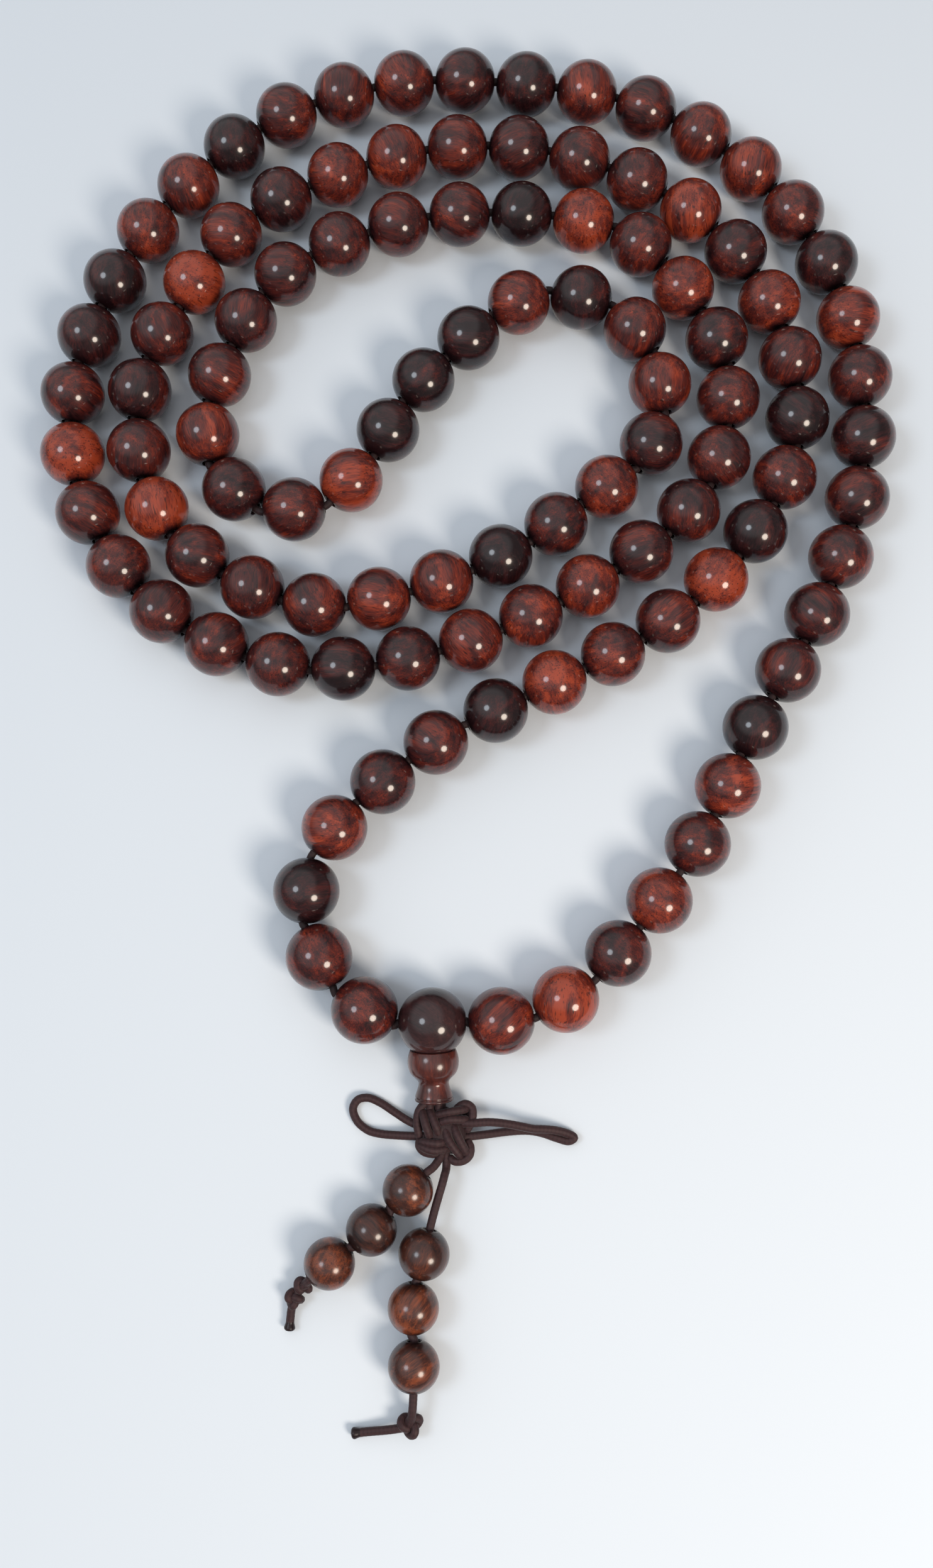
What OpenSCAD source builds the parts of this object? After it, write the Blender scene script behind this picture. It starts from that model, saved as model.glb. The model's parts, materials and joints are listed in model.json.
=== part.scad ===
// Mala prayer beads: a closed strand of 108 beads and a guru bead, laid out flat in rings,
// with a tower bead, a knotted pendant and two strings of counter beads.
// Millimetres. +Z up, +Y away from the pendant. The surface it lies on is z = 0.

/* [Strand beads] */
// Diameter of a strand bead; the whole layout follows it
bead_d = 8; // [8:0.1:8.4]
// Bore through a strand bead
bead_bore_d = 1.6; // [1.5:0.1:1.8]
// How much wider the guru bead is than the others
guru_more = 0.2; // [0:0.1:0.4]

/* [Tower bead] */
// Widest diameter of the tower bead, at its bulge
tower_bulge_d = 6.1; // [5.7:0.1:6.2]
// Diameter of its neck
tower_neck_d = 3.7; // [3.4:0.1:4]
// Diameter of its flared foot
tower_foot_d = 4.6; // [4.2:0.1:4.7]
// Distance from the guru bead's centre to the foot's face
tower_reach = 9.2; // [9:0.1:9.3]

/* [Counter beads] */
// Diameter of a counter bead
counter_d = 6; // [5.6:0.1:6]
// Bore through a counter bead
counter_bore_d = 1.6; // [1.4:0.1:1.8]

/* [Cords] */
// Diameter of the strand cord
strand_cord_d = 1; // [0.8:0.1:1]
// Diameter of the pendant's braided cord
braid_d = 1; // [0.8:0.1:1]

/* [Pendant knot] */
// Width and length of the knot's body
knot_side = 6.2; // [6:0.1:6.4]
// Height of the knot
knot_h = 3.6; // [3.2:0.1:3.8]

/* [Hidden] */
strand_count = 108;
first_coil_bead = 8;
last_coil_bead = 102;
group_size = 5;
counter_count = 3;
group_count = (last_coil_bead - first_coil_bead + 1) / group_size;
// The strand folds in the gap after each of these beads, so those gaps are wider.
fold_gaps = [2, 4, 7, 102, 105, 107];
fold_gap_extra = 0.25;

bead_r = bead_d / 2;
guru_d = bead_d + guru_more;
guru_r = guru_d / 2;
counter_r = counter_d / 2;
layout_scale = bead_d / 8;
round_fn = 64;
cord_fn = 32;
fine_fn = 24;
cord_sides = 8;
cut_past = 1;

// Route of the strand from the guru bead round to it again, for 8 mm beads.
route_points = [
    [-4.5, -28.5], [3.5, -28.5], [11.5, -26], [18, -20.5], [28, -7.5], [35.5, 6.5],
    [43.5, 20], [49.5, 35], [51, 51], [47.5, 67.5], [38, 81], [24, 90], [7.5, 93.5],
    [-8.5, 93.5], [-24, 88.5], [-36.5, 78], [-45, 65], [-49.5, 49.5], [-46.5, 34],
    [-36.5, 21.5], [-21.5, 15], [-6, 16], [9.5, 21.5], [23, 29.5], [29, 35], [33, 42.5],
    [34, 50.5], [32, 59], [22, 71.5], [6, 75], [-10, 73], [-24, 65.5], [-31.5, 51],
    [-31.5, 43], [-27, 36.5], [-19.5, 35.5], [-13, 40], [-4, 53], [8.5, 63], [16, 63],
    [23, 58], [25.5, 50], [23.5, 42.5], [10.5, 32], [-4.5, 25], [-20, 23], [-34, 30],
    [-39, 37], [-41, 45], [-40.5, 53], [-37, 61], [-28, 74], [-13.5, 81.5], [2, 84.5],
    [17.5, 82], [32, 73.5], [40.5, 60.5], [42.5, 44.5], [36, 30.5], [24.5, 19.5],
    [10, 12], [-4, 5], [-16, -5], [-19.5, -13], [-18, -20.5], [-12.5, -27]
];
curve_steps = 12;

// A smooth curve through b and c, with a and d as the points before and after them.
function curve_at(a, b, c, d, t) =
    (2*b + (c - a)*t + (2*a - 5*b + 4*c - d)*t*t + (3*b - a - 3*c + d)*t*t*t) / 2;

route_size = len(route_points);
route = layout_scale * [
    for (i = [0 : route_size])
        for (k = [0 : i == route_size ? 0 : curve_steps - 1])
            curve_at(route_points[(i + route_size - 1) % route_size], route_points[i % route_size],
                     route_points[(i + 1) % route_size], route_points[(i + 2) % route_size],
                     k / curve_steps)
];

// Beads are stepped along the route at equal spacing, centre to centre.
function extra_gap(i) =
    i == 0 || i == strand_count ? guru_more / 2 :
    len(search(i, fold_gaps)) > 0 ? fold_gap_extra * layout_scale : 0;
function spacing(i, pitch) = pitch + extra_gap(i);
function past(from, reach, k) =
    k >= len(route) || norm(route[k] - from) >= reach ? k : past(from, reach, k + 1);
function point_at(from, reach, k) =
    let (a = route[k - 1] - from, v = route[k] - route[k - 1])
    let (vv = v*v, av = a*v, t = (sqrt(av*av - vv*(a*a - reach*reach)) - av) / vv)
    route[k - 1] + t*v;
function fits(pitch, i = 0, from = route[0], k = 1) =
    i > strand_count ? true :
    let (reach = spacing(i, pitch), n = past(from, reach, k))
    n >= len(route) ? false : fits(pitch, i + 1, point_at(from, reach, n), n);
function widest_pitch(low, high, tries) =
    tries == 0 ? low :
    let (middle = (low + high) / 2)
    fits(middle) ? widest_pitch(middle, high, tries - 1) : widest_pitch(low, middle, tries - 1);
function stepped(pitch, i = 0, from = route[0], k = 1) =
    i == strand_count ? [from] :
    let (reach = spacing(i, pitch), n = past(from, reach, k))
    concat([from], stepped(pitch, i + 1, point_at(from, reach, n), n));

bead_pitch = widest_pitch(bead_d, bead_d * 1.05, 24);
// Bead 0 is the guru bead.
layout = stepped(bead_pitch);

// Places in the pendant, in the route's own frame.
pendant_heading = 0.5;
pendant_dip = 10.5;
knot_centre = [-3.2, -41.4];
knot_turn = -5;
tail_root_left = [-4.5, -45.6];
tail_root_right = [-3.1, -45.6];
counters_left = [[-7.6, -47.9], [-11.9, -52.3], [-16.8, -56]];
counters_right = [[-5.8, -55.1], [-7.1, -61.1], [-7.1, -67.5]];
end_knot_left_at = [-20.3, -58.8];
end_knot_right_at = [-7.4, -74.1];

// The row's origin is at the middle of the box of everything but the tail cords.
counter_rim = sqrt(pow(counter_r, 2) - pow(counter_bore_d / 2, 2));
layout_x = [for (p = layout) p.x];
layout_y = [for (p = layout) p.y];
origin = [
    (min(layout_x) + max(layout_x)) / 2,
    (layout_scale * counters_right[2].y - counter_rim + max(layout_y) + bead_r) / 2
];

function flat(p, z) = [layout_scale * p.x - origin.x, layout_scale * p.y - origin.y, z];
function unit(v) = v / norm(v);
function heading(v) = atan2(v.y, v.x);

function bead_at(i) =
    let (p = layout[i % bead_total])
    [p.x - origin.x, p.y - origin.y, bead_radius(i)];

// The taut cord turns each bead until its bore lines up with the mouths of its neighbours' bores.
settling_passes = 6;
bead_total = strand_count + 1;
function bead_radius(i) = i % bead_total == 0 ? guru_r : bead_r;
function settled(bores, passes) =
    passes == 0 ? bores :
    settled([
        for (i = [0 : bead_total - 1])
            let (after = (i + 1) % bead_total, before = (i + strand_count) % bead_total)
            let (v = layout[after] - bead_radius(after) * bores[after]
                     - layout[before] - bead_radius(before) * bores[before])
            unit(bores[i] + unit(v))
    ], passes - 1);
bead_bores = settled([
    for (i = [0 : bead_total - 1])
        unit(layout[(i + 1) % bead_total] - layout[(i + strand_count) % bead_total])
], settling_passes);
function bead_bore(i) = let (v = bead_bores[i % bead_total]) [v.x, v.y, 0];

function group_name(g) =
    let (first = first_coil_bead + g * group_size)
    str("strand_beads_", first, "_to_", first + group_size - 1);

// A tube of cord_sides sides along points, turned so that its rings stand upright.
module swept_cord(points, d) {
    last = len(points) - 1;
    rings = [
        for (i = [0 : last])
            let (along = unit(points[min(i + 1, last)] - points[max(i - 1, 0)]))
            let (side = unit(cross(along, [0, 0, 1])), up = cross(side, along))
            for (k = [0 : cord_sides - 1])
                let (a = (k + 0.5) * 360 / cord_sides)
                points[i] + d/2 * (cos(a) * side + sin(a) * up)
    ];
    walls = [
        for (i = [0 : last - 1])
            for (k = [0 : cord_sides - 1])
                let (n = (k + 1) % cord_sides, a = i * cord_sides, b = a + cord_sides)
                [a + k, a + n, b + n, b + k]
    ];
    start_cap = [for (k = [cord_sides - 1 : -1 : 0]) k];
    end_cap = [for (k = [0 : cord_sides - 1]) last * cord_sides + k];
    polyhedron(points = rings, faces = concat([start_cap], walls, [end_cap]), convexity = 10);
}

// A round bead with a bore along the given direction.
module bored_bead(at, along, d, bore_d) {
    translate(at)
        rotate([0, 90 - asin(along.z), heading(along)])
            difference() {
                sphere(d = d, $fn = round_fn);
                cylinder(d = bore_d, h = d + cut_past, center = true, $fn = round_fn);
            }
}

module strand_bead(i) {
    tones = ["#7a2417", "#5a1c16", "#8f2f18", "#4a1a17"];
    color(tones[i % len(tones)])
        bored_bead(bead_at(i), bead_bore(i), bead_d, bead_bore_d * layout_scale);
}

module strand_bead_group(g) {
    for (k = [0 : group_size - 1]) {
        strand_bead(first_coil_bead + g * group_size + k);
    }
}

// The strand's cord runs straight through each bead and bends between the mouths of their bores.
mouth_inset = 0.1;
function threaded(first, last) = [
    for (i = [first : last])
        for (end = [-1, 1])
            bead_at(i) + end * (bead_radius(i) - mouth_inset) * bead_bore(i)
];

module strand_cord(first, last) {
    color("#3a2320")
        swept_cord(threaded(first, last), strand_cord_d);
}

braid_color = "#33211f";
knotted_color = "#2c1c1b";

// The pendant hangs from the guru bead along this frame's +Z.
module pendant_frame() {
    translate(bead_at(0))
        rotate([90 + pendant_dip, 0, pendant_heading])
            children();
}

throat_d = 2.3;

module guru_bead() {
    color("#2b1a1b")
        difference() {
            bored_bead(bead_at(0), bead_bore(0), guru_d, bead_bore_d);
            pendant_frame()
                cylinder(d = throat_d, h = guru_d, $fn = round_fn);
        }
}

// Distances along the tower from the guru bead's centre.
tower_seat = 3;
tower_bulge_at = 4.65;
tower_neck_at = 7.2;
tower_outline_start = 3.4;
bulge_to_shoulder = 1.2;
tower_steps = 6;
function ease(t) = (1 - cos(180 * t)) / 2;

// Half of the tower's outline, swelling smoothly from its shoulder to its neck and foot.
module tower_outline() {
    neck_start = tower_bulge_at + bulge_to_shoulder;
    shoulder_r = sqrt(pow(tower_bulge_d / 2, 2) - pow(bulge_to_shoulder, 2));
    polygon(concat(
        [[0, tower_outline_start], [shoulder_r, neck_start]],
        [for (k = [1 : tower_steps])
            let (t = k / tower_steps)
            [shoulder_r + (tower_neck_d/2 - shoulder_r) * ease(t),
             neck_start + (tower_neck_at - neck_start) * t]],
        [for (k = [1 : tower_steps])
            let (t = k / tower_steps)
            [(tower_neck_d + (tower_foot_d - tower_neck_d) * ease(t)) / 2,
             tower_neck_at + (tower_reach - tower_neck_at) * t]],
        [[0, tower_reach]]
    ));
}

module tower_bead() {
    foot_line_at = 0.9;
    foot_line_d = 0.3;
    foot_line_out = 0.02;
    seat_clearance = 0.16;
    color("#4e1d1a")
        pendant_frame()
            difference() {
                union() {
                    rotate_extrude($fn = round_fn)
                        tower_outline();
                    translate([0, 0, tower_bulge_at])
                        sphere(d = tower_bulge_d, $fn = round_fn);
                }
                sphere(d = guru_d + seat_clearance, $fn = round_fn);
                cylinder(d = 2 * tower_bulge_d, h = 2 * tower_seat, center = true, $fn = round_fn);
                cylinder(d = throat_d, h = 2 * tower_reach, $fn = round_fn);
                // Turned line round the foot.
                translate([0, 0, tower_reach - foot_line_at])
                    rotate_extrude($fn = round_fn)
                        translate([tower_foot_d / 2 + foot_line_out, 0])
                            circle(d = foot_line_d, $fn = fine_fn);
            }
}

// The braid doubled through the guru and tower beads, and tied off in the knot.
module pendant_cord() {
    braid_start = 0.9;
    knot_grip = 2;
    strand_apart = 0.08;
    color(braid_color)
        pendant_frame()
            for (side = [-1, 1]) {
                translate([side * (braid_d + strand_apart) / 2, 0, braid_start])
                    cylinder(d = braid_d, h = tower_reach - braid_start + knot_grip, $fn = cord_fn);
            }
}

// A straight strand of braid with round ends, lying along X with its middle at the origin.
module braid_bar(length) {
    rotate([0, 90, 0])
        translate([0, 0, -length / 2])
            rotate_extrude($fn = cord_fn)
                intersection() {
                    union() {
                        translate([0, braid_d / 2])
                            circle(d = braid_d, $fn = cord_fn);
                        translate([0, length - braid_d / 2])
                            circle(d = braid_d, $fn = cord_fn);
                        translate([-braid_d / 2, braid_d / 2])
                            square([braid_d, length - braid_d]);
                    }
                    square([braid_d, length]);
                }
}

module knot_frame() {
    translate(flat(knot_centre, 0))
        rotate([0, 0, knot_turn])
            children();
}

// A crown knot: four doubled strands woven round a square, with a small ear at each corner.
module pendant_knot() {
    core = knot_side - 1;
    core_corner_r = 0.8;
    core_lift = 0.1;
    bar_length = knot_side * 2/3;
    bar_spacing = braid_d * 1.1;
    bar_shift = 0.7;
    ear_r = 0.75;
    ear_at = knot_side / 2 - 0.85;
    color(braid_color)
        knot_frame() {
            translate([0, 0, core_lift])
                linear_extrude(height = knot_h - braid_d / 2 - core_lift) {
                    square([core, core - 2 * core_corner_r], center = true);
                    square([core - 2 * core_corner_r, core], center = true);
                    for (x = [-1, 1], y = [-1, 1]) {
                        translate([x, y] * (core / 2 - core_corner_r))
                            circle(r = core_corner_r, $fn = cord_fn);
                    }
                }
            for (quarter = [0 : 3], strand = [0, 1]) {
                rotate([0, 0, 90 * quarter])
                    translate([bar_shift, (knot_side - braid_d) / 2 - strand * bar_spacing,
                               knot_h - braid_d / 2])
                        braid_bar(bar_length);
            }
            for (quarter = [0 : 3]) {
                rotate([0, 0, 90 * quarter])
                    translate([ear_at, ear_at, knot_h / 2])
                        rotate_extrude($fn = cord_fn)
                            translate([ear_r, 0])
                                circle(d = braid_d, $fn = fine_fn);
            }
        }
}

// Loops of braid standing out of the knot's sides.
ear_left_points = [
    [-5.2, -40.8, 1.8], [-6.4, -40.4, 1.4], [-7.6, -39.8, 1], [-9.4, -38.7, 0.7], [-11.2, -37.8, 0.6],
    [-12.8, -37.4, 0.6], [-13.9, -37.7, 0.6], [-14.4, -38.7, 0.6], [-14, -40, 0.6],
    [-12.9, -41.1, 0.6], [-11.2, -41.7, 0.6], [-9, -41.9, 0.7], [-6.4, -41.9, 1.4], [-5.2, -41.9, 1.7]
];
ear_right_points = [
    [-1.2, -40.5, 2.4], [-0.2, -40.5, 2.6], [1.6, -40.4, 2.6], [4, -40.7, 2.7], [6.4, -41.2, 2.6],
    [8.2, -41.6, 2.1], [10, -41.8, 1.6], [11.4, -42.3, 1.3], [12, -42.8, 1.1],
    [11.6, -43.3, 0.9], [10, -43, 0.7], [8.2, -42.3, 0.6], [6.4, -41.9, 0.6],
    [4, -41.9, 0.7], [1.6, -42, 1], [-0.2, -42.1, 1.4], [-1.2, -42.1, 1.7]
];

module ear_loop(points) {
    color(braid_color)
        swept_cord([for (p = points) flat(p, p.z)], braid_d);
}

// Each tail leaves the knot, runs through its counter beads and an end knot, and ends in a short tip.
head_left_points = [[-4.5, -45.6, 2], [-4.95, -45.85, 2.6]];
tip_left_points = [
    [-20.3, -58.9, 1.7], [-21, -60.2, 1.4], [-21.4, -61.6, 1.1], [-21.7, -63.1, 0.8], [-21.8, -64.6, 0.6]
];
head_right_points = [[-3.1, -45.6, 2], [-3.3, -46.3, 2.7], [-3.5, -47, 3], [-4.5, -50.2, 3]];
tip_right_points = [
    [-7.3, -72.3, 3], [-7.5, -73.5, 2.3], [-8, -74.4, 1.6], [-9.2, -74.7, 1.4],
    [-10.6, -74.9, 1.2], [-12.4, -75.1, 0.9], [-14.5, -75.3, 0.7]
];

function counter_at(places, i) = flat(places[i], counter_r);
function counter_bore(places, root, knot, i) =
    let (before = i == 0 ? root : places[i - 1], after = i == counter_count - 1 ? knot : places[i + 1])
    let (v = after - before)
    unit([v.x, v.y, 0]);
function through_counters(places, root, knot) = [
    for (i = [0 : counter_count - 1])
        for (end = [-1, 1])
            counter_at(places, i) + end * (counter_r - mouth_inset) * counter_bore(places, root, knot, i)
];
function lifted(points) = [for (p = points) flat(p, p.z)];

module tail_cord_left() {
    color(braid_color)
        swept_cord(concat(lifted(head_left_points),
                          through_counters(counters_left, tail_root_left, end_knot_left_at),
                          lifted(tip_left_points)), braid_d);
}

module tail_cord_right() {
    color(braid_color)
        swept_cord(concat(lifted(head_right_points),
                          through_counters(counters_right, tail_root_right, end_knot_right_at),
                          lifted(tip_right_points)), braid_d);
}

module counter_bead_left(i) {
    color("#5b2a1c")
        bored_bead(counter_at(counters_left, i),
                   counter_bore(counters_left, tail_root_left, end_knot_left_at, i),
                   counter_d, counter_bore_d);
}

module counter_bead_right(i) {
    color("#5b2a1c")
        bored_bead(counter_at(counters_right, i),
                   counter_bore(counters_right, tail_root_right, end_knot_right_at, i),
                   counter_d, counter_bore_d);
}

melted_tip_d = 1.5;

module knotted_ball(at, d) {
    translate(flat(at, at.z))
        sphere(d = d, $fn = cord_fn);
}

// A double knot and a melted tip.
module end_knot_left() {
    color(knotted_color) {
        knotted_ball([-20.3, -59, 1.5], 2.6);
        knotted_ball([-21.2, -60.8, 1.4], 2.5);
        knotted_ball([-21.8, -64.6, 0.8], melted_tip_d);
    }
}

// An overhand knot and a melted tip.
module end_knot_right() {
    color(knotted_color) {
        knotted_ball([-7.6, -74.2, 1.6], 3);
        knotted_ball([-14.5, -75.3, 0.8], melted_tip_d);
    }
}

for (i = [1 : first_coil_bead - 1]) {
    strand_bead(i);
}
for (i = [last_coil_bead + 1 : strand_count]) {
    strand_bead(i);
}
for (g = [0 : group_count - 1]) {
    strand_bead_group(g);
}
guru_bead();
tower_bead();
pendant_cord();
pendant_knot();
ear_loop(ear_left_points);  // ear_loop_left
ear_loop(ear_right_points);  // ear_loop_right
for (i = [0 : counter_count - 1]) {
    counter_bead_left(i);
    counter_bead_right(i);
}
tail_cord_left();
tail_cord_right();
end_knot_left();
end_knot_right();
strand_cord(first_coil_bead, last_coil_bead);  // strand_cord_rings
strand_cord(103, 105);  // strand_cord_upper_left
strand_cord(5, 7);  // strand_cord_upper_right
strand_cord(106, 107);  // strand_cord_middle_left
strand_cord(3, 4);  // strand_cord_middle_right
// From bead 108 through the guru bead to beads 1 and 2.
strand_cord(strand_count, strand_count + 3);  // strand_cord_lower
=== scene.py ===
import json
import math
import random

import bmesh
import bpy
import numpy as np
from mathutils import Matrix, Vector

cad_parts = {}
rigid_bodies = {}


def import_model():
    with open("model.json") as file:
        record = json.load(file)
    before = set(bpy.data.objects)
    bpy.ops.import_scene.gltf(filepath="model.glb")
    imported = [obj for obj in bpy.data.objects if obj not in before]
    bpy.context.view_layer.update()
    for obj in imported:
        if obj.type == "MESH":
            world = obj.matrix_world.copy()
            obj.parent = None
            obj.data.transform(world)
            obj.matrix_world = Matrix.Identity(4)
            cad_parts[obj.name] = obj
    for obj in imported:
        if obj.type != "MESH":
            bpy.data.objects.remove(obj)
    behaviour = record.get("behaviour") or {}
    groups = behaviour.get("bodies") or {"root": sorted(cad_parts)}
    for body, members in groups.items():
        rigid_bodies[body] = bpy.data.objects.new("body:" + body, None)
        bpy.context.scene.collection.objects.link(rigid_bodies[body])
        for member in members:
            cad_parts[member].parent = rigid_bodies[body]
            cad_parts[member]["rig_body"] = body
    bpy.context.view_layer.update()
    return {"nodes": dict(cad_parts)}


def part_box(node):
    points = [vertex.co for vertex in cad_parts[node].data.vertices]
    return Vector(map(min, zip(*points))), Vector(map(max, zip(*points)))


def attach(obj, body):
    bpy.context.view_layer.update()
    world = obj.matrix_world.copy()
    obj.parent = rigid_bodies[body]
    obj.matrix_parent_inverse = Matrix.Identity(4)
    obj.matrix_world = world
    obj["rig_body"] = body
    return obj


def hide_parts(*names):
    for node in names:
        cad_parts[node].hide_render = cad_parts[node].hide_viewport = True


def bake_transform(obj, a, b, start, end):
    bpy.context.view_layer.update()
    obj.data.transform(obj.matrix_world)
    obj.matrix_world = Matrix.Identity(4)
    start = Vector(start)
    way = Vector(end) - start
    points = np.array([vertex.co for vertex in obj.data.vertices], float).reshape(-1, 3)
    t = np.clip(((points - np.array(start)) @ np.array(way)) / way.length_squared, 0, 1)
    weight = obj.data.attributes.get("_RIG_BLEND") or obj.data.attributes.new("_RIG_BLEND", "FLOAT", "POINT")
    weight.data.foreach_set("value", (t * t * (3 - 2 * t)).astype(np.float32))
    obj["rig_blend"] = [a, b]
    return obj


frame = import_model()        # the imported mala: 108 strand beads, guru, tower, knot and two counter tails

MM = 0.001
rng = random.Random(108)
STRAND_COUNT = 108
BEAD_R = 4.0
COUNTER_R = 3.0
BORE_R = 0.8
CORD_D = 1.0


# ---------------------------------------------------------------- places, all in mm

def middle(node):
    low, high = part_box(node)
    return np.array((low + high) / 2) / MM


def unit(v):
    return v / np.linalg.norm(v, axis=-1, keepdims=True)


def clump_centres(node):
    """The middle of each separate solid in a CAD node."""
    solids = bmesh.new()
    solids.from_mesh(frame["nodes"][node].data)
    bmesh.ops.remove_doubles(solids, verts=solids.verts, dist=1e-6)
    seen, found = set(), []
    for start in solids.verts:
        if start in seen:
            continue
        stack, clump = [start], []
        seen.add(start)
        while stack:
            v = stack.pop()
            clump.append(v.co.copy())
            for other in (e.other_vert(v) for e in v.link_edges):
                if other not in seen:
                    seen.add(other)
                    stack.append(other)
        found.append((np.min(clump, 0) + np.max(clump, 0)) / 2 / MM)
    solids.free()
    return found


# Bead 0 is the guru bead. Grouped beads are told apart by following the strand.
guru_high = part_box("guru_bead")[1]
GURU_R = guru_high.z / 2 / MM
guru_at = np.array([middle("guru_bead")[0], guru_high.y / MM - GURU_R, GURU_R])
groups = [n for n in frame["nodes"] if n.startswith("strand_beads_")]
groups.sort(key=lambda n: int(n.split("_")[2]))
FIRST_GROUPED = int(groups[0].split("_")[2])
LAST_GROUPED = int(groups[-1].split("_")[4])
bead_node = {}
bead_at = np.zeros((STRAND_COUNT + 1, 3))
bead_at[0] = guru_at
for i in [*range(1, FIRST_GROUPED), *range(LAST_GROUPED + 1, STRAND_COUNT + 1)]:
    bead_node[i] = f"strand_bead_{i}"
    bead_at[i] = middle(bead_node[i])
i = FIRST_GROUPED
for node in groups:
    waiting = clump_centres(node)
    while waiting:
        waiting.sort(key=lambda at: np.linalg.norm(at - bead_at[i - 1]))
        bead_at[i] = waiting.pop(0)
        bead_node[i] = node
        i += 1
bead_radius = np.full(STRAND_COUNT + 1, BEAD_R)
bead_radius[0] = GURU_R

# The taut cord turns each bead until its bore lines up with the mouths of its neighbours' bores.
SETTLING_PASSES = 6
in_plan = bead_at * (1, 1, 0)
bead_bore = unit(np.roll(in_plan, -1, 0) - np.roll(in_plan, 1, 0))
for _ in range(SETTLING_PASSES):
    mouth = bead_radius[:, None] * bead_bore
    ahead = np.roll(in_plan - mouth, -1, 0)
    behind = np.roll(in_plan + mouth, 1, 0)
    bead_bore = unit(bead_bore + unit(ahead - behind))

# Routes are drawn in the part's layout, where the guru bead is here.
LAYOUT_GURU = np.array([-4.5, -28.5, 0])


def flat(x, y, z=0.0):
    """A point of the layout, in the row's frame."""
    return np.array([x, y, z]) + (guru_at - LAYOUT_GURU) * (1, 1, 0)


# ---------------------------------------------------------------- camera

CAMERA_AT = (0, -25.8, 170.41)
CAMERA_TILT = math.radians(8.813)
CAMERA_ROLL = math.radians(-0.891)
camera_data = bpy.data.cameras.new("camera")
camera_data.lens = 31.76
camera_data.sensor_width = 36.0
camera_data.clip_start = 0.005
camera = bpy.data.objects.new("camera", camera_data)
bpy.context.scene.collection.objects.link(camera)
camera.matrix_world = (
    Matrix.Translation(Vector(flat(*CAMERA_AT)) * MM)
    @ Matrix.Rotation(CAMERA_TILT, 4, "X")
    @ Matrix.Rotation(CAMERA_ROLL, 4, "Z")
)
bpy.context.scene.camera = camera


# ---------------------------------------------------------------- materials

class Material:
    """A short way to write a material's nodes."""

    def __init__(self, name):
        self.material = bpy.data.materials.new(name)
        self.material.use_nodes = True
        self.tree = self.material.node_tree
        self.shader = self.tree.nodes["Principled BSDF"]

    def put(self, socket, value):
        if isinstance(value, bpy.types.NodeSocket):
            self.tree.links.new(value, socket)
        else:
            socket.default_value = value

    def add(self, kind, inputs, **settings):
        node = self.tree.nodes.new(kind)
        for key, value in settings.items():
            setattr(node, key, value)
        for key, value in inputs.items():
            self.put(node.inputs[key], value)
        return node

    def set(self, **values):
        for key, value in values.items():
            self.put(self.shader.inputs[key.replace("_", " ")], value)

    def attribute(self, name, output="Fac"):
        return self.add("ShaderNodeAttribute", {}, attribute_name=name).outputs[output]

    def math(self, operation, a, b):
        return self.add("ShaderNodeMath", {0: a, 1: b}, operation=operation).outputs[0]

    def scaled(self, vector, scale):
        node = self.add("ShaderNodeVectorMath", {0: vector, 1: scale}, operation="MULTIPLY")
        return node.outputs[0]

    def noise(self, vector, scale, detail, roughness, distortion=0.0):
        inputs = {"Vector": vector, "Scale": scale, "Detail": detail}
        inputs |= {"Roughness": roughness, "Distortion": distortion}
        return self.add("ShaderNodeTexNoise", inputs).outputs["Fac"]

    def remap(self, value, low, high, to_low=0.0, to_high=1.0, kind="LINEAR"):
        inputs = {"Value": value, "From Min": low, "From Max": high}
        inputs |= {"To Min": to_low, "To Max": to_high}
        node = self.add("ShaderNodeMapRange", inputs, interpolation_type=kind)
        return node.outputs["Result"]

    def swing(self, noise, amount):
        """A noise's middle values, spread from -amount to amount."""
        return self.remap(noise, 0.3, 0.7, -amount, amount)

    def ramp(self, value, stops):
        node = self.add("ShaderNodeValToRGB", {"Fac": value})
        elements = node.color_ramp.elements
        while len(elements) < len(stops):
            elements.new(0.5)
        for element, (position, colour) in zip(elements, stops, strict=True):
            element.position = position
            element.color = (*colour, 1.0)
        return node.outputs["Color"]

    def mix(self, factor, a, b):
        node = self.add("ShaderNodeMix", {0: factor, 6: a, 7: b}, data_type="RGBA")
        return node.outputs[2]

    def bump(self, height, strength, distance):
        inputs = {"Height": height, "Strength": strength, "Distance": distance}
        self.set(Normal=self.add("ShaderNodeBump", inputs).outputs["Normal"])


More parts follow.
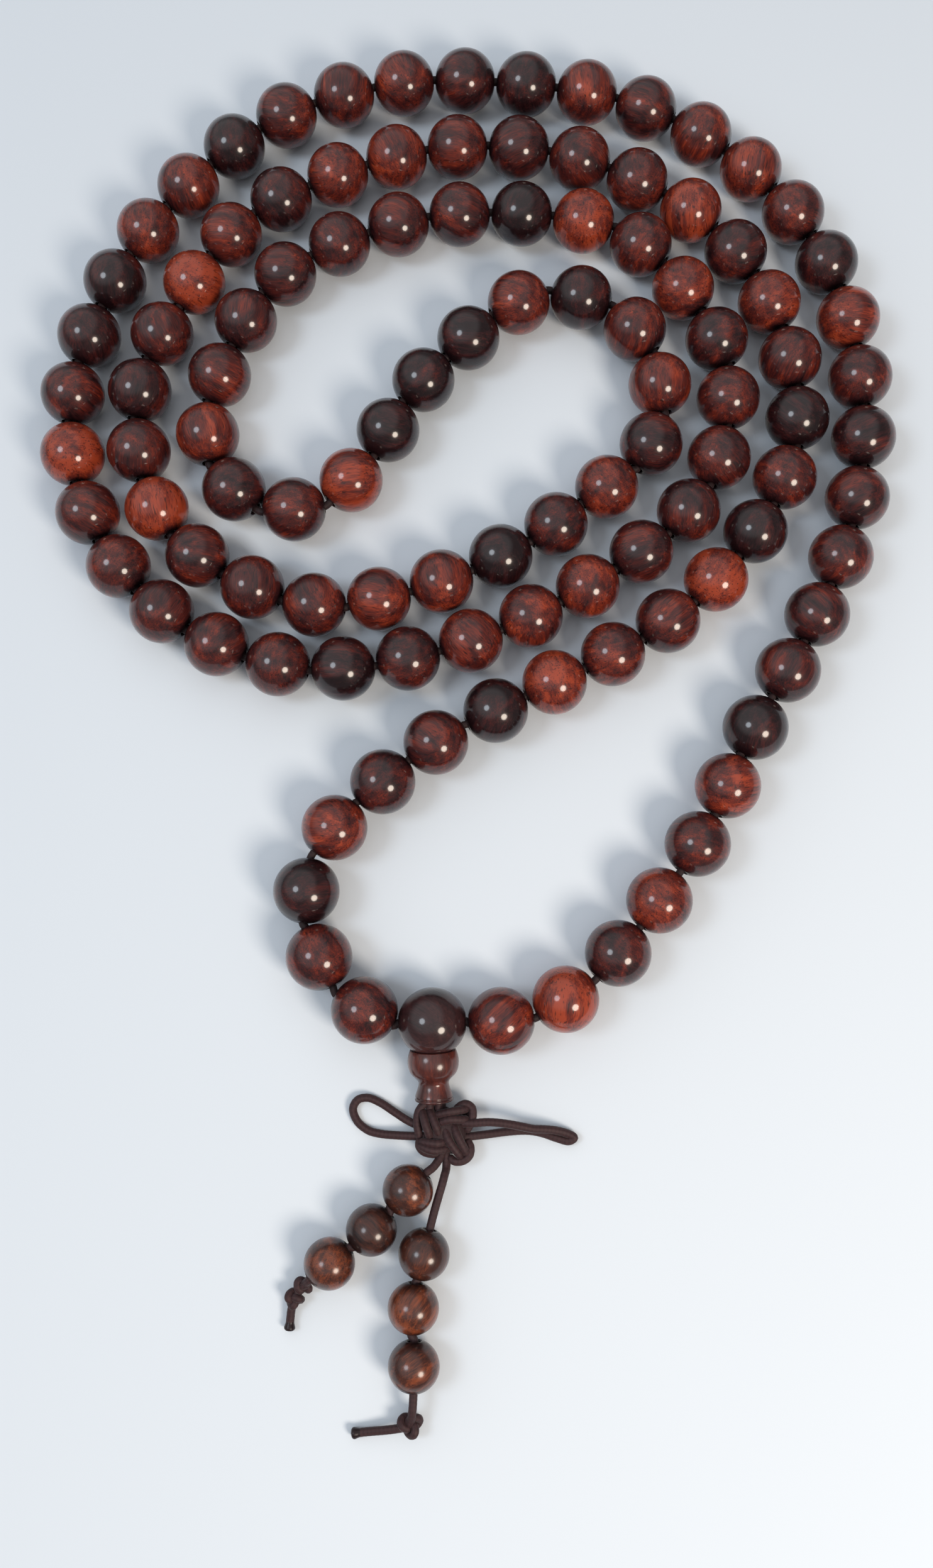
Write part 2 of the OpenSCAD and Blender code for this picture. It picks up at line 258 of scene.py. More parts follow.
def polished_wood(name, stops, pore_colour, pores, figure_scale, coat_roughness):
    """Wood whose grain runs along Z of the attribute grain, in mm. Attribute tone is how light the
    piece is. The third attribute darkens it towards the mouths of its bore: partly varnish gathered
    there, partly painted shade where the neighbouring beads and the cord meet it."""
    m = Material(name)
    grain = m.attribute("grain", "Vector")
    figure = m.noise(m.scaled(grain, (1, 1, 0.25)), figure_scale, 3.0, 0.55, 0.6)
    bands = m.noise(m.scaled(grain, (1, 0.4, 0.06)), 2.2, 3.0, 0.6, 0.3)
    fibres = m.noise(m.scaled(grain, (1, 1, 0.08)), 7.0, 2.0, 0.65)
    pits = m.noise(m.scaled(grain, (1, 1, 0.14)), 4.2, 1.0, 0.4)
    pore = m.remap(pits, 0.60, 0.70, kind="SMOOTHSTEP")
    light = m.math("ADD", m.attribute("tone"), m.swing(figure, 0.27))
    light = m.math("ADD", light, m.swing(bands, 0.19))
    light = m.math("ADD", light, m.swing(fibres, 0.13))
    # painted shade, with some gathered varnish, darkens the wood towards each bore's mouth
    light = m.math("SUBTRACT", light, m.math("MULTIPLY", m.attribute("hole"), 0.6))
    colour = m.mix(m.math("MULTIPLY", pore, pores), m.ramp(light, stops), (*pore_colour, 1.0))
    m.set(Base_Color=colour, Roughness=m.remap(fibres, 0.3, 0.7, 0.34, 0.46))
    m.set(Coat_Weight=0.9, Coat_Roughness=coat_roughness, Coat_IOR=1.5, Specular_IOR_Level=0.1)
    m.bump(m.math("SUBTRACT", m.math("MULTIPLY", fibres, 0.35), pore), 0.22, 0.05 * MM)
    return m.material


STRAND_WOOD = polished_wood(
    "strand_wood",
    [
        (0.0, (0.009, 0.003, 0.004)),
        (0.25, (0.028, 0.007, 0.008)),
        (0.5, (0.068, 0.011, 0.009)),
        (0.75, (0.155, 0.021, 0.011)),
        (1.0, (0.30, 0.044, 0.017)),
    ],
    (0.010, 0.004, 0.004),
    pores=0.65,
    figure_scale=0.42,
    coat_roughness=0.12,
)
GURU_WOOD = polished_wood(
    "guru_wood",
    [(0.0, (0.014, 0.007, 0.008)), (0.5, (0.036, 0.013, 0.014)), (1.0, (0.08, 0.026, 0.022))],
    (0.006, 0.004, 0.004),
    pores=0.3,
    figure_scale=0.42,
    coat_roughness=0.12,
)
TOWER_WOOD = polished_wood(
    "tower_wood",
    [(0.0, (0.024, 0.008, 0.008)), (0.5, (0.074, 0.017, 0.013)), (1.0, (0.17, 0.034, 0.02))],
    (0.010, 0.004, 0.004),
    pores=0.3,
    figure_scale=0.42,
    coat_roughness=0.19,
)
COUNTER_WOOD = polished_wood(
    "counter_wood",
    [(0.0, (0.013, 0.006, 0.006)), (0.5, (0.060, 0.017, 0.010)), (1.0, (0.23, 0.053, 0.018))],
    (0.008, 0.004, 0.004),
    pores=0.4,
    figure_scale=0.5,
    coat_roughness=0.19,
)


def cord_material(name, valley_shade_and_melt, ridge):
    """Braided cord. Attribute rib is the height of the braid, grain a place in mm, and melt is 1
    where the cord's end was melted. The braid's valleys get painted shade, a darker colour that the
    melted end also takes."""
    m = Material(name)
    rib = m.attribute("rib")
    melt = m.attribute("melt")
    grain = m.attribute("grain", "Vector")
    fuzz = m.noise(grain, 8.0, 3.0, 0.7)
    worn = m.noise(grain, 0.6, 2.0, 0.6)
    # painted shade: the braid's valleys darker than its ridges
    colour = m.mix(rib, (*valley_shade_and_melt, 1.0), (*ridge, 1.0))
    colour = m.mix(m.remap(fuzz, 0.35, 0.7, 0.0, 0.5), colour, (*(1.6 * c for c in ridge), 1.0))
    colour = m.mix(m.remap(worn, 0.4, 0.7, 0.0, 0.35), colour, (*(0.6 * c for c in ridge), 1.0))
    colour = m.mix(melt, colour, (*valley_shade_and_melt, 1.0))
    m.set(Base_Color=colour, Roughness=m.math("SUBTRACT", 0.62, m.math("MULTIPLY", melt, 0.3)))
    m.set(Sheen_Weight=0.1, Sheen_Roughness=0.4, Specular_IOR_Level=0.3)
    m.bump(m.math("ADD", m.math("MULTIPLY", fuzz, 0.5), rib), 0.4, 0.05 * MM)
    return m.material


BRAID = cord_material("braid", (0.012, 0.005, 0.006), (0.043, 0.018, 0.020))
STRAND_CORD = cord_material("strand_cord", (0.008, 0.003, 0.004), (0.026, 0.011, 0.012))


# ---------------------------------------------------------------- shapes, all in mm

class Shape:
    """Points, faces and point attributes, gathered from several parts into one piece."""

    def __init__(self):
        self.points, self.faces, self.attributes, self.count = [], [], {}, 0

    def add(self, points, faces, **attributes):
        self.points.append(np.asarray(points, float))
        self.faces += [tuple(int(v) + self.count for v in face) for face in faces]
        for key, values in attributes.items():
            self.attributes.setdefault(key, []).append(np.asarray(values, np.float32))
        self.count += len(points)

    def make(self, name, material, body=None, nodes=()):
        mesh = bpy.data.meshes.new(name)
        mesh.from_pydata(np.vstack(self.points) * MM, [], self.faces)
        for key, values in self.attributes.items():
            values = np.concatenate(values)
            kind, field = ("FLOAT_VECTOR", "vector") if values.ndim == 2 else ("FLOAT", "value")
            mesh.attributes.new(key, kind, "POINT").data.foreach_set(field, values.ravel())
        mesh.shade_smooth()
        mesh.materials.append(material)
        mesh.update()
        piece = bpy.data.objects.new(name, mesh)
        bpy.context.scene.collection.objects.link(piece)
        if body:
            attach(piece, body)
        if nodes:
            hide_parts(*nodes)
        return piece


def revolved(profile, sides):
    """Points and faces of a closed profile of (x, r) turned about X."""
    count = len(profile)
    turns = np.arange(sides) * 2 * math.pi / sides
    points = [(x, r * math.cos(a), r * math.sin(a)) for a in turns for x, r in profile]
    faces = []
    for k in range(sides):
        this, after = k * count, (k + 1) % sides * count
        for j in range(count):
            n = (j + 1) % count
            faces.append((this + j, this + n, after + n, after + j))
    return np.array(points), faces


def facing(direction):
    """The rotation that takes X to direction, with Z as near up as it can be."""
    x = unit(np.array(direction, float))
    y = unit(np.cross((0, 0, 1), x))
    return np.column_stack([x, y, np.cross(x, y)])


def random_grain(local):
    """Places in a block of wood, turned and shifted at random."""
    axis = unit(np.array([rng.gauss(0, 1) for _ in range(3)]))
    turn = np.array(Matrix.Rotation(rng.uniform(0, 2 * math.pi), 3, Vector(axis)))
    return local @ turn.T + [rng.uniform(-40, 40) for _ in range(3)]


# ---------------------------------------------------------------- cords

def distances(path):
    return np.concatenate([[0], np.cumsum(np.linalg.norm(np.diff(path, axis=0), axis=1))])


STEPS_A_POINT = 24    # steps of a smooth curve from one of its points to the next
YARNS = 4             # in a braid, each way round
BRAID_TURN = 1.6      # radians that the yarns wind in one diameter of length


def smooth(points, step):
    """Points about a step apart along a smooth curve through the given ones."""
    p = np.array(points, float)
    p = np.vstack([2 * p[0] - p[1], p, 2 * p[-1] - p[-2]])
    gap = np.sqrt(np.linalg.norm(np.diff(p, axis=0), axis=1))[:, None]
    slope = np.diff(p, axis=0) / gap
    tangent = slope[:-1] + slope[1:] - (p[2:] - p[:-2]) / (gap[:-1] + gap[1:])
    t = np.linspace(0, 1, STEPS_A_POINT, endpoint=False)[:, None]
    fine = [
        (2 * t**3 - 3 * t**2 + 1) * p[k + 1]
        + (t**3 - 2 * t**2 + t) * gap[k + 1] * tangent[k]
        + (3 * t**2 - 2 * t**3) * p[k + 2]
        + (t**3 - t**2) * gap[k + 1] * tangent[k + 1]
        for k in range(len(p) - 3)
    ]
    fine = np.vstack([*fine, p[-2]])
    along = distances(fine)
    places = np.linspace(0, along[-1], max(3, round(along[-1] / step)) + 1)
    return np.column_stack([np.interp(places, along, fine[:, k]) for k in range(3)])


def add_cord(shape, points, d=CORD_D, sides=16, step=0.12, relief=0.05, melt=0.0, flare=0.0):
    """A braided cord with round ends. flare is how much its far end swells."""
    path = smooth(points, step)
    forward = unit(np.gradient(path, axis=0))
    along = distances(path)
    to_end = along[-1] - along
    side = np.cross(forward[0], (0, 0, 1)) + np.cross(forward[0], (0, 1, 0)) * 1e-3
    angle = np.arange(sides) * 2 * math.pi / sides
    turn_per_mm = BRAID_TURN / d
    rings, ribs, grains = [], [], []
    for k, at in enumerate(path):
        side = unit(side - forward[k] * side.dot(forward[k]))
        up = np.cross(forward[k], side)
        wind = YARNS * (angle + turn_per_mm * along[k])
        unwind = YARNS * (angle - turn_per_mm * along[k])
        rib = 0.5 + 0.5 * np.cos(wind) * np.cos(unwind)
        rounding = max(0.0, 1 - min(along[k], to_end[k]) / (d / 2))
        swell = 1 + flare * max(0.0, 1 - to_end[k] / d)
        r = d / 2 * swell * math.sqrt(max(1 - rounding**2, 0.001)) * (1 - relief * (1 - rib))
        x, y = r * np.cos(angle), r * np.sin(angle)
        rings.append(at + x[:, None] * side + y[:, None] * up)
        ribs.append(rib)
        grains.append(np.column_stack([np.full(sides, along[k]), x, y]))
    faces = [tuple(range(sides)), tuple((len(path) - 1) * sides + j for j in reversed(range(sides)))]
    for k in range(len(path) - 1):
        this, after = k * sides, (k + 1) * sides
        for j in range(sides):
            n = (j + 1) % sides
            faces.append((this + j, after + j, after + n, this + n))
    ribs = np.concatenate(ribs) * (1 - melt)
    grain = np.vstack(grains) + [rng.uniform(0, 50) for _ in range(3)]
    shape.add(np.vstack(rings), faces, rib=ribs, grain=grain, melt=np.full(len(ribs), melt))
    return path


MOUTH_INSET = 0.1     # how far inside a bead's end the cord starts to turn to the next bead
GRIP = 0.9            # from there to the next point in, which keeps the cord straight up to it


def threaded(centres, bores, radii):
    """Straight through each bead's bore, for a smooth curve to pass from bead to bead."""
    points = []
    for at, bore, radius in zip(centres, bores, radii, strict=True):
        reach = radius - MOUTH_INSET
        points += [at + share * bore for share in (-reach, GRIP - reach, 0, reach - GRIP, reach)]
    return points


def strand(first, last):
    order = [i % (STRAND_COUNT + 1) for i in range(first, last + 1)]
    return threaded(bead_at[order], bead_bore[order], bead_radius[order])


STRAND_RUNS = {
    "strand_cord_rings": (8, 102, "rings"),
    "strand_cord_upper_left": (103, 105, "loop_upper"),
    "strand_cord_upper_right": (5, 7, "loop_upper"),
    "strand_cord_middle_left": (106, 107, "loop_middle"),
    "strand_cord_middle_right": (3, 4, "loop_middle"),
    "strand_cord_lower": (STRAND_COUNT, STRAND_COUNT + 3, "loop_lower"),
}
for node, (first, last, body) in STRAND_RUNS.items():
    run = Shape()
    add_cord(run, strand(first, last), sides=10, step=0.25, relief=0.03)
    run.make(f"cord_of_{node}", STRAND_CORD, body, [node])

# The strand's cord crosses each fold in the gap after these beads, on a short piece that bends.
FOLDS = {
    2: ("loop_lower", "loop_middle"),
    4: ("loop_middle", "loop_upper"),
    7: ("loop_upper", "rings"),
    102: ("rings", "loop_upper"),
    105: ("loop_upper", "loop_middle"),
    107: ("loop_middle", "loop_lower"),
}
STUB_D = 0.94
for i, (before, after) in FOLDS.items():
    route = strand(i, i + 1)[3:7]
    mouth, next_mouth = route[1:3]
    run = Shape()
    add_cord(run, route, d=STUB_D, sides=12, step=0.08, relief=0.03)
    stub = run.make(f"cord_at_fold_{i}", STRAND_CORD)
    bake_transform(stub, before, after, start=mouth * MM, end=next_mouth * MM)

# The pendant's axis runs out of the guru bead and dips to the knot.
PENDANT_HEADING = math.radians(0.5)
PENDANT_DIP = math.radians(10.5)
pendant_side = np.array([math.cos(PENDANT_HEADING), math.sin(PENDANT_HEADING), 0])
pendant_axis = np.array([
    math.cos(PENDANT_DIP) * math.sin(PENDANT_HEADING),
    -math.cos(PENDANT_DIP) * math.cos(PENDANT_HEADING),
    -math.sin(PENDANT_DIP),
])
PAIR_OFFSET = 0.54
PAIR_REACH = (0.9, 6, 11.2)
pair = Shape()
for side in (-PAIR_OFFSET, PAIR_OFFSET):
    add_cord(pair, [guru_at + side * pendant_side + reach * pendant_axis for reach in PAIR_REACH])
pair.make("pendant_braid", BRAID, "pendant", ["pendant_cord"])

# The knot, in its own frame: x to the right, y towards the guru bead, z up.
KNOT_AT = (-3.2, -41.4)
KNOT_TURN = math.radians(-5)
KNOT_SCALE = 0.93
KNOT_TOP = (1.5, 2.3, 3.1, 2.6, 1.9)
KNOT_UNDERSIDE = (2.1, 1.35, 0.55, 1.0, 1.6)
EAR_HEIGHTS = (1.7, 2.2, 2.2, 1.7)
TUCKED_BEFORE, TUCKED_AFTER = 0.7, 0.6


def in_knot(x, y, z):
    c, s = KNOT_SCALE * math.cos(KNOT_TURN), KNOT_SCALE * math.sin(KNOT_TURN)
    return flat(KNOT_AT[0] + c * x - s * y, KNOT_AT[1] + s * x + c * y, z)


# Four doubled strands lie over each other round the square, each from under the pair before it.
KNOT_STRANDS = [
    [(-1.4, 2.0), (0.4, 2.6), (2.1, 3.0)], [(-1.05, 0.95), (0.5, 1.65), (2.2, 1.75)],
    [(-0.2, 0.8), (0.6, -0.9), (1.9, -2.5)], [(0.95, 1.1), (1.65, -0.25), (2.7, -2.0)],
    [(0.35, -1.05), (-0.95, -1.4), (-2.4, -1.4)], [(0.35, -2.0), (-1.4, -2.3), (-2.7, -2.0)],
    [(-1.75, -0.9), (-2.4, 0.6), (-2.9, 2.0)], [(-0.6, -0.6), (-1.2, 0.8), (-1.9, 2.2)],
]
KNOT_EARS = [
    [(-3.1, -1.2), (-3.6, 0.8), (-3.5, 2.4), (-2.7, 3.4), (-1.2, 3.6), (-0.2, 3.1)],
    [(1.0, 2.2), (1.5, 3.2), (2.4, 3.7), (3.2, 3.3), (3.4, 2.3), (3.1, 1.1), (2.6, 0.1)],
    [(2.8, -0.7), (3.4, -1.7), (3.3, -2.7), (2.5, -3.4), (1.4, -3.5), (0.7, -2.9)],
    [(-3.15, -1.05), (-3.1, -2.0), (-2.5, -2.6), (-1.4, -2.8), (0, -2.6)],
]
knot = Shape()
for first, top, last in (np.array(points) for points in KNOT_STRANDS):
    start = first - TUCKED_BEFORE * unit(top - first)
    end = last + TUCKED_AFTER * unit(last - top)
    plan = [start, first, top, last, end]
    for side, heights in ((1, KNOT_TOP), (-1, KNOT_UNDERSIDE)):
        add_cord(knot, [in_knot(side * p[0], p[1], h) for p, h in zip(plan, heights, strict=True)])
for plan in KNOT_EARS:
    heights = np.interp(np.linspace(0, 1, len(plan)), (0, 0.25, 0.75, 1), EAR_HEIGHTS)
    add_cord(knot, [in_knot(x, y, h) for (x, y), h in zip(plan, heights, strict=True)])
# A dome under the strands fills the knot's gaps with cord. With rib 0 it takes the braid's valley colour all
# over, so it is painted shade in those gaps as well.
CORE_AT, CORE_RISE, CORE_R = 1.85, 1.25, 2.7
core_outline = [(CORE_RISE * math.cos(a), CORE_R * math.sin(a)) for a in np.linspace(0.05, 3.09, 12)]
core, core_faces = revolved(core_outline, 24)
core = np.array([in_knot(y, z, CORE_AT + x) for x, y, z in core])
knot.add(core, core_faces, rib=np.zeros(len(core)), grain=core, melt=np.zeros(len(core)))
knot.make("crown_knot", BRAID, "pendant", ["pendant_knot"])

EAR_LOOPS = {
    "ear_loop_left": [
        (-5.2, -40.8, 1.8), (-6.4, -40.6, 1.5), (-7.6, -40.1, 1.2), (-9.2, -39.1, 0.9),
        (-10.9, -38, 0.7), (-12.4, -37.4, 0.6), (-13.6, -37.6, 0.6), (-14.2, -38.6, 0.6),
        (-13.7, -40.1, 0.6), (-12.4, -41.2, 0.6), (-11, -41.6, 0.7), (-9, -41.8, 0.9),
        (-6.4, -41.9, 1.4), (-5.2, -41.9, 1.7),
    ],
    "ear_loop_right": [
        (-1.4, -40.4, 2.2), (-0.2, -40.4, 2.5), (2, -40.3, 2.6), (4, -40.5, 2.6), (6, -40.9, 2.4),
        (7.3, -41.2, 2.0), (8.6, -41.3, 1.6), (10, -41.5, 1.2), (11.4, -41.9, 0.9), (12.2, -42.4, 0.8),
        (11.6, -42.8, 0.7), (10, -42.4, 0.65), (8.6, -41.9, 0.6), (7.3, -41.6, 0.6), (6, -41.5, 0.7),
        (4, -41.6, 0.9), (2, -41.8, 1.2), (-0.2, -42, 1.5), (-1.4, -42.1, 1.7),
    ],
}
for node, points in EAR_LOOPS.items():
    loop = Shape()
    add_cord(loop, [flat(*p) for p in points], step=0.1)
    loop.make(f"braid_{node}", BRAID, "pendant", [node])


TREFOIL_RISE = 0.42


def trefoil(at, size, turn, tilt):
    """A small overhand knot's closed path, with three lobes."""
    t = np.linspace(0, 2 * math.pi, 37)
    x, y = np.sin(t) + 2 * np.sin(2 * t), np.cos(t) - 2 * np.cos(2 * t)
    points = np.column_stack([x * size, y * size, -np.sin(3 * t) * TREFOIL_RISE])
    spin = Matrix.Rotation(math.radians(turn), 3, "Z") @ Matrix.Rotation(math.radians(tilt), 3, "X")
    return points @ np.array(spin).T + flat(*at)


# The two tails: how each leaves the knot, and its end past the last counter bead. Each knot in it
# has a place, a size, a turn and a tilt.
TAILS = {
    "left": {
        "head": [(-3.1, -41.8, 1.8), (-3.3, -43, 1.9), (-3.8, -44.3, 2.1), (-4.6, -45.35, 2.6)],
        "root": (-4.5, -45.6),
        "last": (-20.3, -58.8),
        "tip": [(-20, -58.7, 1.8), (-20.9, -60, 1.4), (-21.4, -61.3, 1.1), (-21.6, -62.6, 0.8),
                (-21.7, -63.7, 0.7)],
        "knots": [((-19.9, -58.6, 1.6), 0.27, 20, 50), ((-21.1, -60.2, 1.35), 0.27, -30, 20)],
    },
    "right": {
        "head": [(-3.4, -41.8, 1.8), (-3.1, -44.1, 1.7), (-3.1, -45.6, 2), (-3.3, -46.3, 2.7),
                 (-3.5, -47, 3), (-4.5, -50.2, 3)],
        "root": (-3.1, -45.6),
        "last": (-7.4, -74.1),
        "tip": [(-7.3, -72.3, 3), (-7.5, -73.5, 2.3), (-8, -74.4, 1.6), (-9.2, -74.7, 1.4),
                (-10.6, -74.9, 1.2), (-12.4, -75.1, 0.9), (-14.3, -75.3, 0.75)],
        "knots": [((-7.6, -74.2, 1.7), 0.39, 5, 0)],
    },
}
COUNTERS = 3
MELTED = 14            # points of a cord's path that its melted tip covers
MELTED_REACH = 0.25    # how far the tip goes past the cord's end
ROOT_BEND = 0.7        # half the length of tail that bends where it leaves the knot


def make_tail(hand, tail):
    """A tail's cord and tied end. Gives the place and the bore of each of its counter beads."""
    nodes = [f"counter_bead_{hand}_{k}" for k in range(1, COUNTERS + 1)]
    centres = np.array([middle(n) for n in nodes]) * (1, 1, 0) + (0, 0, COUNTER_R)
    stops = np.vstack([flat(*tail["root"], COUNTER_R), centres, flat(*tail["last"], COUNTER_R)])
    bores = unit(stops[2:] - stops[:-2])
    route = [flat(*p) for p in tail["head"]]
    route += threaded(centres, bores, [COUNTER_R] * COUNTERS)
    route += [flat(*p) for p in tail["tip"]]
    run = Shape()
    path = add_cord(run, route)
    cord = run.make(f"tail_braid_{hand}", BRAID, None, [f"tail_cord_{hand}"])
    root = flat(*tail["root"], 2)
    bend = ROOT_BEND * unit((centres[0] - root) * (1, 1, 0))
    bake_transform(cord, "pendant", f"tail_{hand}", (root - bend) * MM, (root + bend) * MM)
    knots = Shape()
    for at, size, turn, tilt in tail["knots"]:
        add_cord(knots, trefoil(at, size, turn, tilt), d=0.96, step=0.1)
    tip = path[-MELTED:] + unit(path[-1] - path[-MELTED]) * MELTED_REACH
    add_cord(knots, tip, melt=1.0, relief=0.0, flare=0.6)
    ending = knots.make(f"tied_end_{hand}", BRAID, f"tail_{hand}", [f"end_knot_{hand}"])
    return {node: (at, bore) for node, at, bore in zip(nodes, centres, bores, strict=True)}


counters = {}
for hand, tail in TAILS.items():
    counters |= make_tail(hand, tail)


# ---------------------------------------------------------------- beads

BEAD_SIDES = 44
MOST_SHRUNK = 0.004    # turned beads aren't all quite the same size
SHADE_WIDTH, SHADE_POWER = 1.7, 1.3


def bead_outline(radius, bore, arc_steps=26):
    """A bored ball: its outside, a small rounded lip at each mouth, and the bore's wall."""
    lip = 0.16
    start = math.asin((bore + lip) / radius)
    outside = [
        (radius * math.cos(a), radius * math.sin(a))
        for a in np.linspace(start, math.pi - start, arc_steps + 1)
    ]
    mouth_x = radius * math.cos(start)
    lips = [
        (mouth_x - lip * (1 - math.cos(a)), bore + lip * (1 - math.sin(a)))
        for a in np.radians((30, 60, 90))
    ]
    wall = [(x, bore) for x in np.linspace(1.6 * lip - mouth_x, mouth_x - 1.6 * lip, 4)]
    return outside + [(-x, r) for x, r in lips] + wall + lips[::-1]


def hole_shade(local, bore):
    """Painted shade, with some gathered varnish, at the mouth of a bore along X: 1 there, 0 away from it."""
    off_axis = np.hypot(local[:, 1], local[:, 2])
    return np.clip((bore + SHADE_WIDTH - off_axis) / SHADE_WIDTH, 0, 1) ** SHADE_POWER


def add_bead(shape, at, bore_direction, radius, tone):
    local, faces = revolved(bead_outline(radius, BORE_R), BEAD_SIDES)
    shrunk = local * (1 - rng.uniform(0, MOST_SHRUNK))
    points = shrunk @ facing(bore_direction).T + at
    # painted shade, with some gathered varnish, at the mouths of the bore
    hole = hole_shade(local, BORE_R)
    tones = np.full(len(local), tone)
    shape.add(points, faces, grain=random_grain(local), tone=tones, hole=hole)


# How light the wood is, listed by bead; the rest are plain red-brown.
BRIGHT = {2, 32, 50, 61, 78, 82, 91, 98, 101}
WARM = {1, 4, 6, 14, 17, 20, 27, 28, 40, 41, 42, 48, 58, 65, 68, 70, 73, 74, 83, 85, 86, 93, 100, 105}
DEEP = {3, 8, 9, 11, 12, 19, 22, 30, 31, 39, 43, 44, 47, 55, 56, 59, 69, 71, 80, 84, 88, 92, 104}
DARK = {7, 15, 21, 26, 29, 38, 51, 62, 63, 64, 66, 72, 95, 97, 102, 106}
TONES = ((BRIGHT, 0.86), (WARM, 0.64), (DEEP, 0.36), (DARK, 0.16))
PLAIN_TONE = 0.5


def strand_tone(i):
    tone = next((value for beads, value in TONES if i in beads), PLAIN_TONE)
    return tone + rng.uniform(-0.05, 0.05)


for node in dict.fromkeys(bead_node.values()):
    beads = Shape()
    for i in (k for k in range(1, STRAND_COUNT + 1) if bead_node[k] == node):
        add_bead(beads, bead_at[i], bead_bore[i], BEAD_R, strand_tone(i))
    body = frame["nodes"][node]["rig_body"]
    beads.make(f"wood_{node}", STRAND_WOOD, body, [node])

COUNTER_TONES = {"counter_bead_left_1": 0.5, "counter_bead_left_2": 0.25, "counter_bead_left_3": 0.6}
COUNTER_TONES |= {"counter_bead_right_1": 0.4, "counter_bead_right_2": 0.7, "counter_bead_right_3": 0.5}
for node, tone in COUNTER_TONES.items():
    bead = Shape()
    at, bore = counters[node]
    add_bead(bead, at, bore, COUNTER_R, tone)
    body = frame["nodes"][node]["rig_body"]
    bead.make(f"wood_{node}", COUNTER_WOOD, body, [node])

# The guru bead also has a throat, for the doubled cord to come out of its side.
THROAT_R = 1.15


def turned_at_guru(outline, sides, direction):
    """A piece turned from an outline, with its axis through the guru bead's centre."""
    local, faces = revolved(outline, sides)
    piece = Shape()
    piece.add(local @ facing(direction).T + guru_at, faces)
    return piece.make("guru_stock", GURU_WOOD)


def difference(kept, taken):
    """The points and faces of one piece with the other cut out of it. Both pieces are used up."""
    cut = kept.modifiers.new("cut", "BOOLEAN")
    cut.operation = "DIFFERENCE"
    cut.solver = "EXACT"
    cut.object = taken
    mesh = kept.evaluated_get(bpy.context.evaluated_depsgraph_get()).to_mesh()
    points = np.array([v.co for v in mesh.vertices]) / MM
    faces = [tuple(p.vertices) for p in mesh.polygons]
    for piece in (kept, taken):
        bpy.data.objects.remove(piece)
    return points, faces


ball = turned_at_guru(bead_outline(GURU_R, BORE_R, 40), 64, bead_bore[0])
drill_outline = [(0, 0.01), (0, THROAT_R), (GURU_R + 2, THROAT_R), (GURU_R + 2, 0.01)]
points, faces = difference(ball, turned_at_guru(drill_outline, 48, pendant_axis))
along_bore = (points - guru_at) @ facing(bead_bore[0])
along_throat = (points - guru_at) @ facing(pendant_axis)
guru = Shape()
guru.add(
    points,
    faces,
    grain=random_grain(points - guru_at),
    tone=np.full(len(points), 0.45),
    # painted shade, with some gathered varnish, at the mouths of the bore and the throat
    hole=np.maximum(hole_shade(along_bore, BORE_R), hole_shade(along_throat, THROAT_R)),
)
guru.make("wood_guru_bead", GURU_WOOD, "pendant", ["guru_bead"])


TOWER_MOUTH = 8.6


def tower_outline():
    """The tower bead's outline of (distance from the guru bead's centre, radius)."""
    seat_r, dome_at, dome_r, rim = GURU_R + 0.08, 4.65, 3.05, (3.2, 2.68)
    shoulder, neck, foot = (5.85, 2.8), (7.2, 1.8), (9.2, 2.3)
    line_at, line_depth, line_width = 8.95, 0.12, 0.1
    dome_end_slope = (dome_at - shoulder[0]) / shoulder[1]
    dome_span = math.atan2(rim[1], rim[0] - dome_at), math.atan2(shoulder[1], shoulder[0] - dome_at)
    dome = [
        (dome_at + dome_r * math.cos(a), dome_r * math.sin(a)) for a in np.linspace(*dome_span, 20)
    ]
    stem = []
    near_line = line_at + np.linspace(-0.2, 0.2, 9)
    stretches = ((shoulder, neck, dome_end_slope, ()), (neck, foot, 0, near_line))
    for (x0, r0), (x1, r1), slope, extra in stretches:
        for x in sorted([*np.linspace(x0, x1, 14)[1:], *extra]):
            t = (x - x0) / (x1 - x0)
            r = r0 + (r1 - r0) * (1 - math.cos(math.pi * t)) / 2 + slope * (x - x0) * (1 - t) ** 2
            stem.append((x, r - line_depth * math.exp(-(((x - line_at) / line_width) ** 2))))
    end = [(9.28, 2.22), (9.3, 2.05), (9.3, 1.6), (9.2, THROAT_R)]
    throat = [(x, THROAT_R) for x in np.linspace(TOWER_MOUTH, math.sqrt(seat_r**2 - THROAT_R**2), 5)]
    seat_span = math.asin(THROAT_R / seat_r), math.atan2(rim[1], rim[0])
    seat = [(seat_r * math.cos(a), seat_r * math.sin(a)) for a in np.linspace(*seat_span, 6)[1:-1]]
    return dome + stem + end + throat + seat


local, faces = revolved(tower_outline(), 64)
tower = Shape()
tower.add(
    local @ facing(pendant_axis).T + guru_at,
    faces,
    grain=local[:, [1, 2, 0]] + [rng.uniform(0, 40) for _ in range(3)],
    tone=np.full(len(local), 0.5),
    # painted shade, with some gathered varnish, round the far mouth where the cords come out
    hole=hole_shade(local, THROAT_R) * (local[:, 0] > TOWER_MOUTH),
)
tower.make("wood_tower_bead", TOWER_WOOD, "tower", ["tower_bead"])


# ---------------------------------------------------------------- floor and light

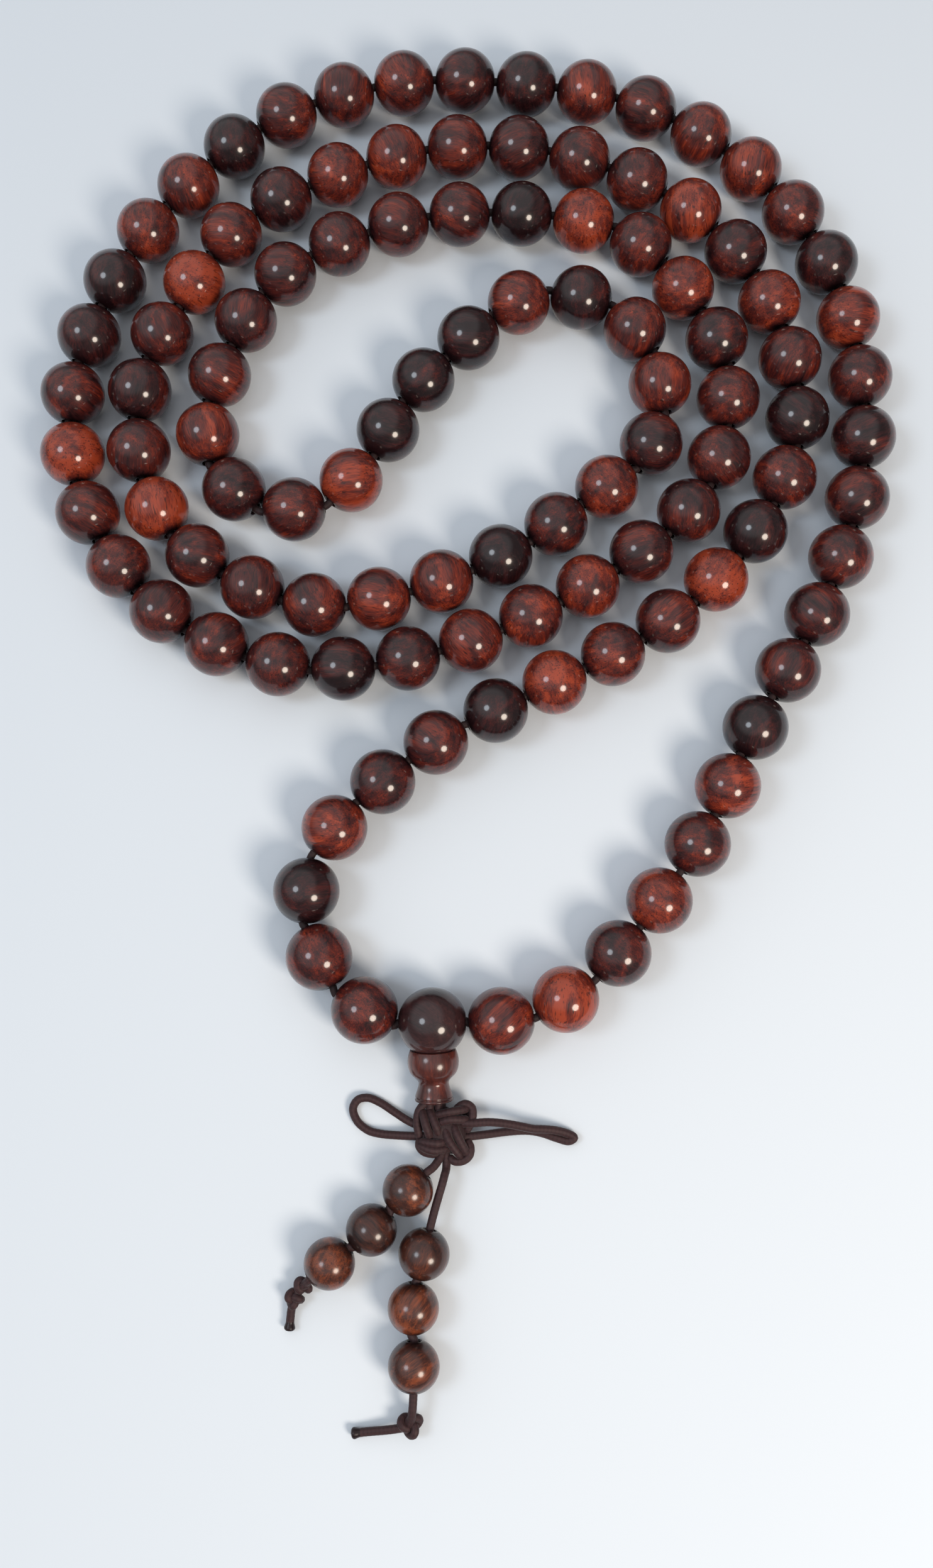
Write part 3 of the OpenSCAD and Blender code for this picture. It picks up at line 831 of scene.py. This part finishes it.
FLOOR_HALF = 6          # metres
FLOOR_Z = -0.02 * MM    # just under the lowest points of the beads and the cords
floor_mesh = bpy.data.meshes.new("floor")
corners = [(-1, -1), (1, -1), (1, 1), (-1, 1)]
floor_mesh.from_pydata([(x * FLOOR_HALF, y * FLOOR_HALF, 0) for x, y in corners], [], [(0, 1, 2, 3)])
floor = bpy.data.objects.new("floor", floor_mesh)
floor.location.z = FLOOR_Z
bpy.context.scene.collection.objects.link(floor)
floor_material = Material("floor")
floor_material.set(Base_Color=(0.66, 0.725, 0.79, 1.0), Roughness=0.9, Specular_IOR_Level=0.05)
floor_mesh.materials.append(floor_material.material)


def area_light(name, at, size, power, colour):
    """A round lamp that shines at the row's origin."""
    data = bpy.data.lights.new(name, "AREA")
    data.shape = "DISK"
    data.size = size
    data.energy = power
    data.color = colour
    light = bpy.data.objects.new(name, data)
    light.location = Vector(at)
    light.rotation_euler = (-Vector(at)).to_track_quat("-Z", "Y").to_euler()
    bpy.context.scene.collection.objects.link(light)


area_light("lamp", (0.18, -0.205, 0.275), 0.135, 0.95, (1.0, 0.87, 0.74))
area_light("window", (-0.33, -0.006, 0.52), 0.2, 0.85, (0.82, 0.91, 1.0))

# A broad pale ceiling over a darker room, brightest up and to the back left.
BRIGHTEST = (-0.3, 0.3, 0.906)
world = bpy.data.worlds.new("studio")
bpy.context.scene.world = world
world.use_nodes = True
nodes, links = world.node_tree.nodes, world.node_tree.links
direction = nodes.new("ShaderNodeTexCoord").outputs["Generated"]
towards = nodes.new("ShaderNodeVectorMath")
towards.operation = "DOT_PRODUCT"
towards.inputs[1].default_value = BRIGHTEST
glow = nodes.new("ShaderNodeMapRange")
glow.interpolation_type = "SMOOTHSTEP"
for key, value in {"From Min": 0.42, "From Max": 0.74, "To Min": 0.22, "To Max": 0.85}.items():
    glow.inputs[key].default_value = value
links.new(direction, towards.inputs[0])
links.new(towards.outputs["Value"], glow.inputs["Value"])
links.new(glow.outputs["Result"], nodes["Background"].inputs["Strength"])
nodes["Background"].inputs["Color"].default_value = (0.95, 0.94, 0.95, 1.0)
bpy.context.scene.view_settings.view_transform = "Standard"
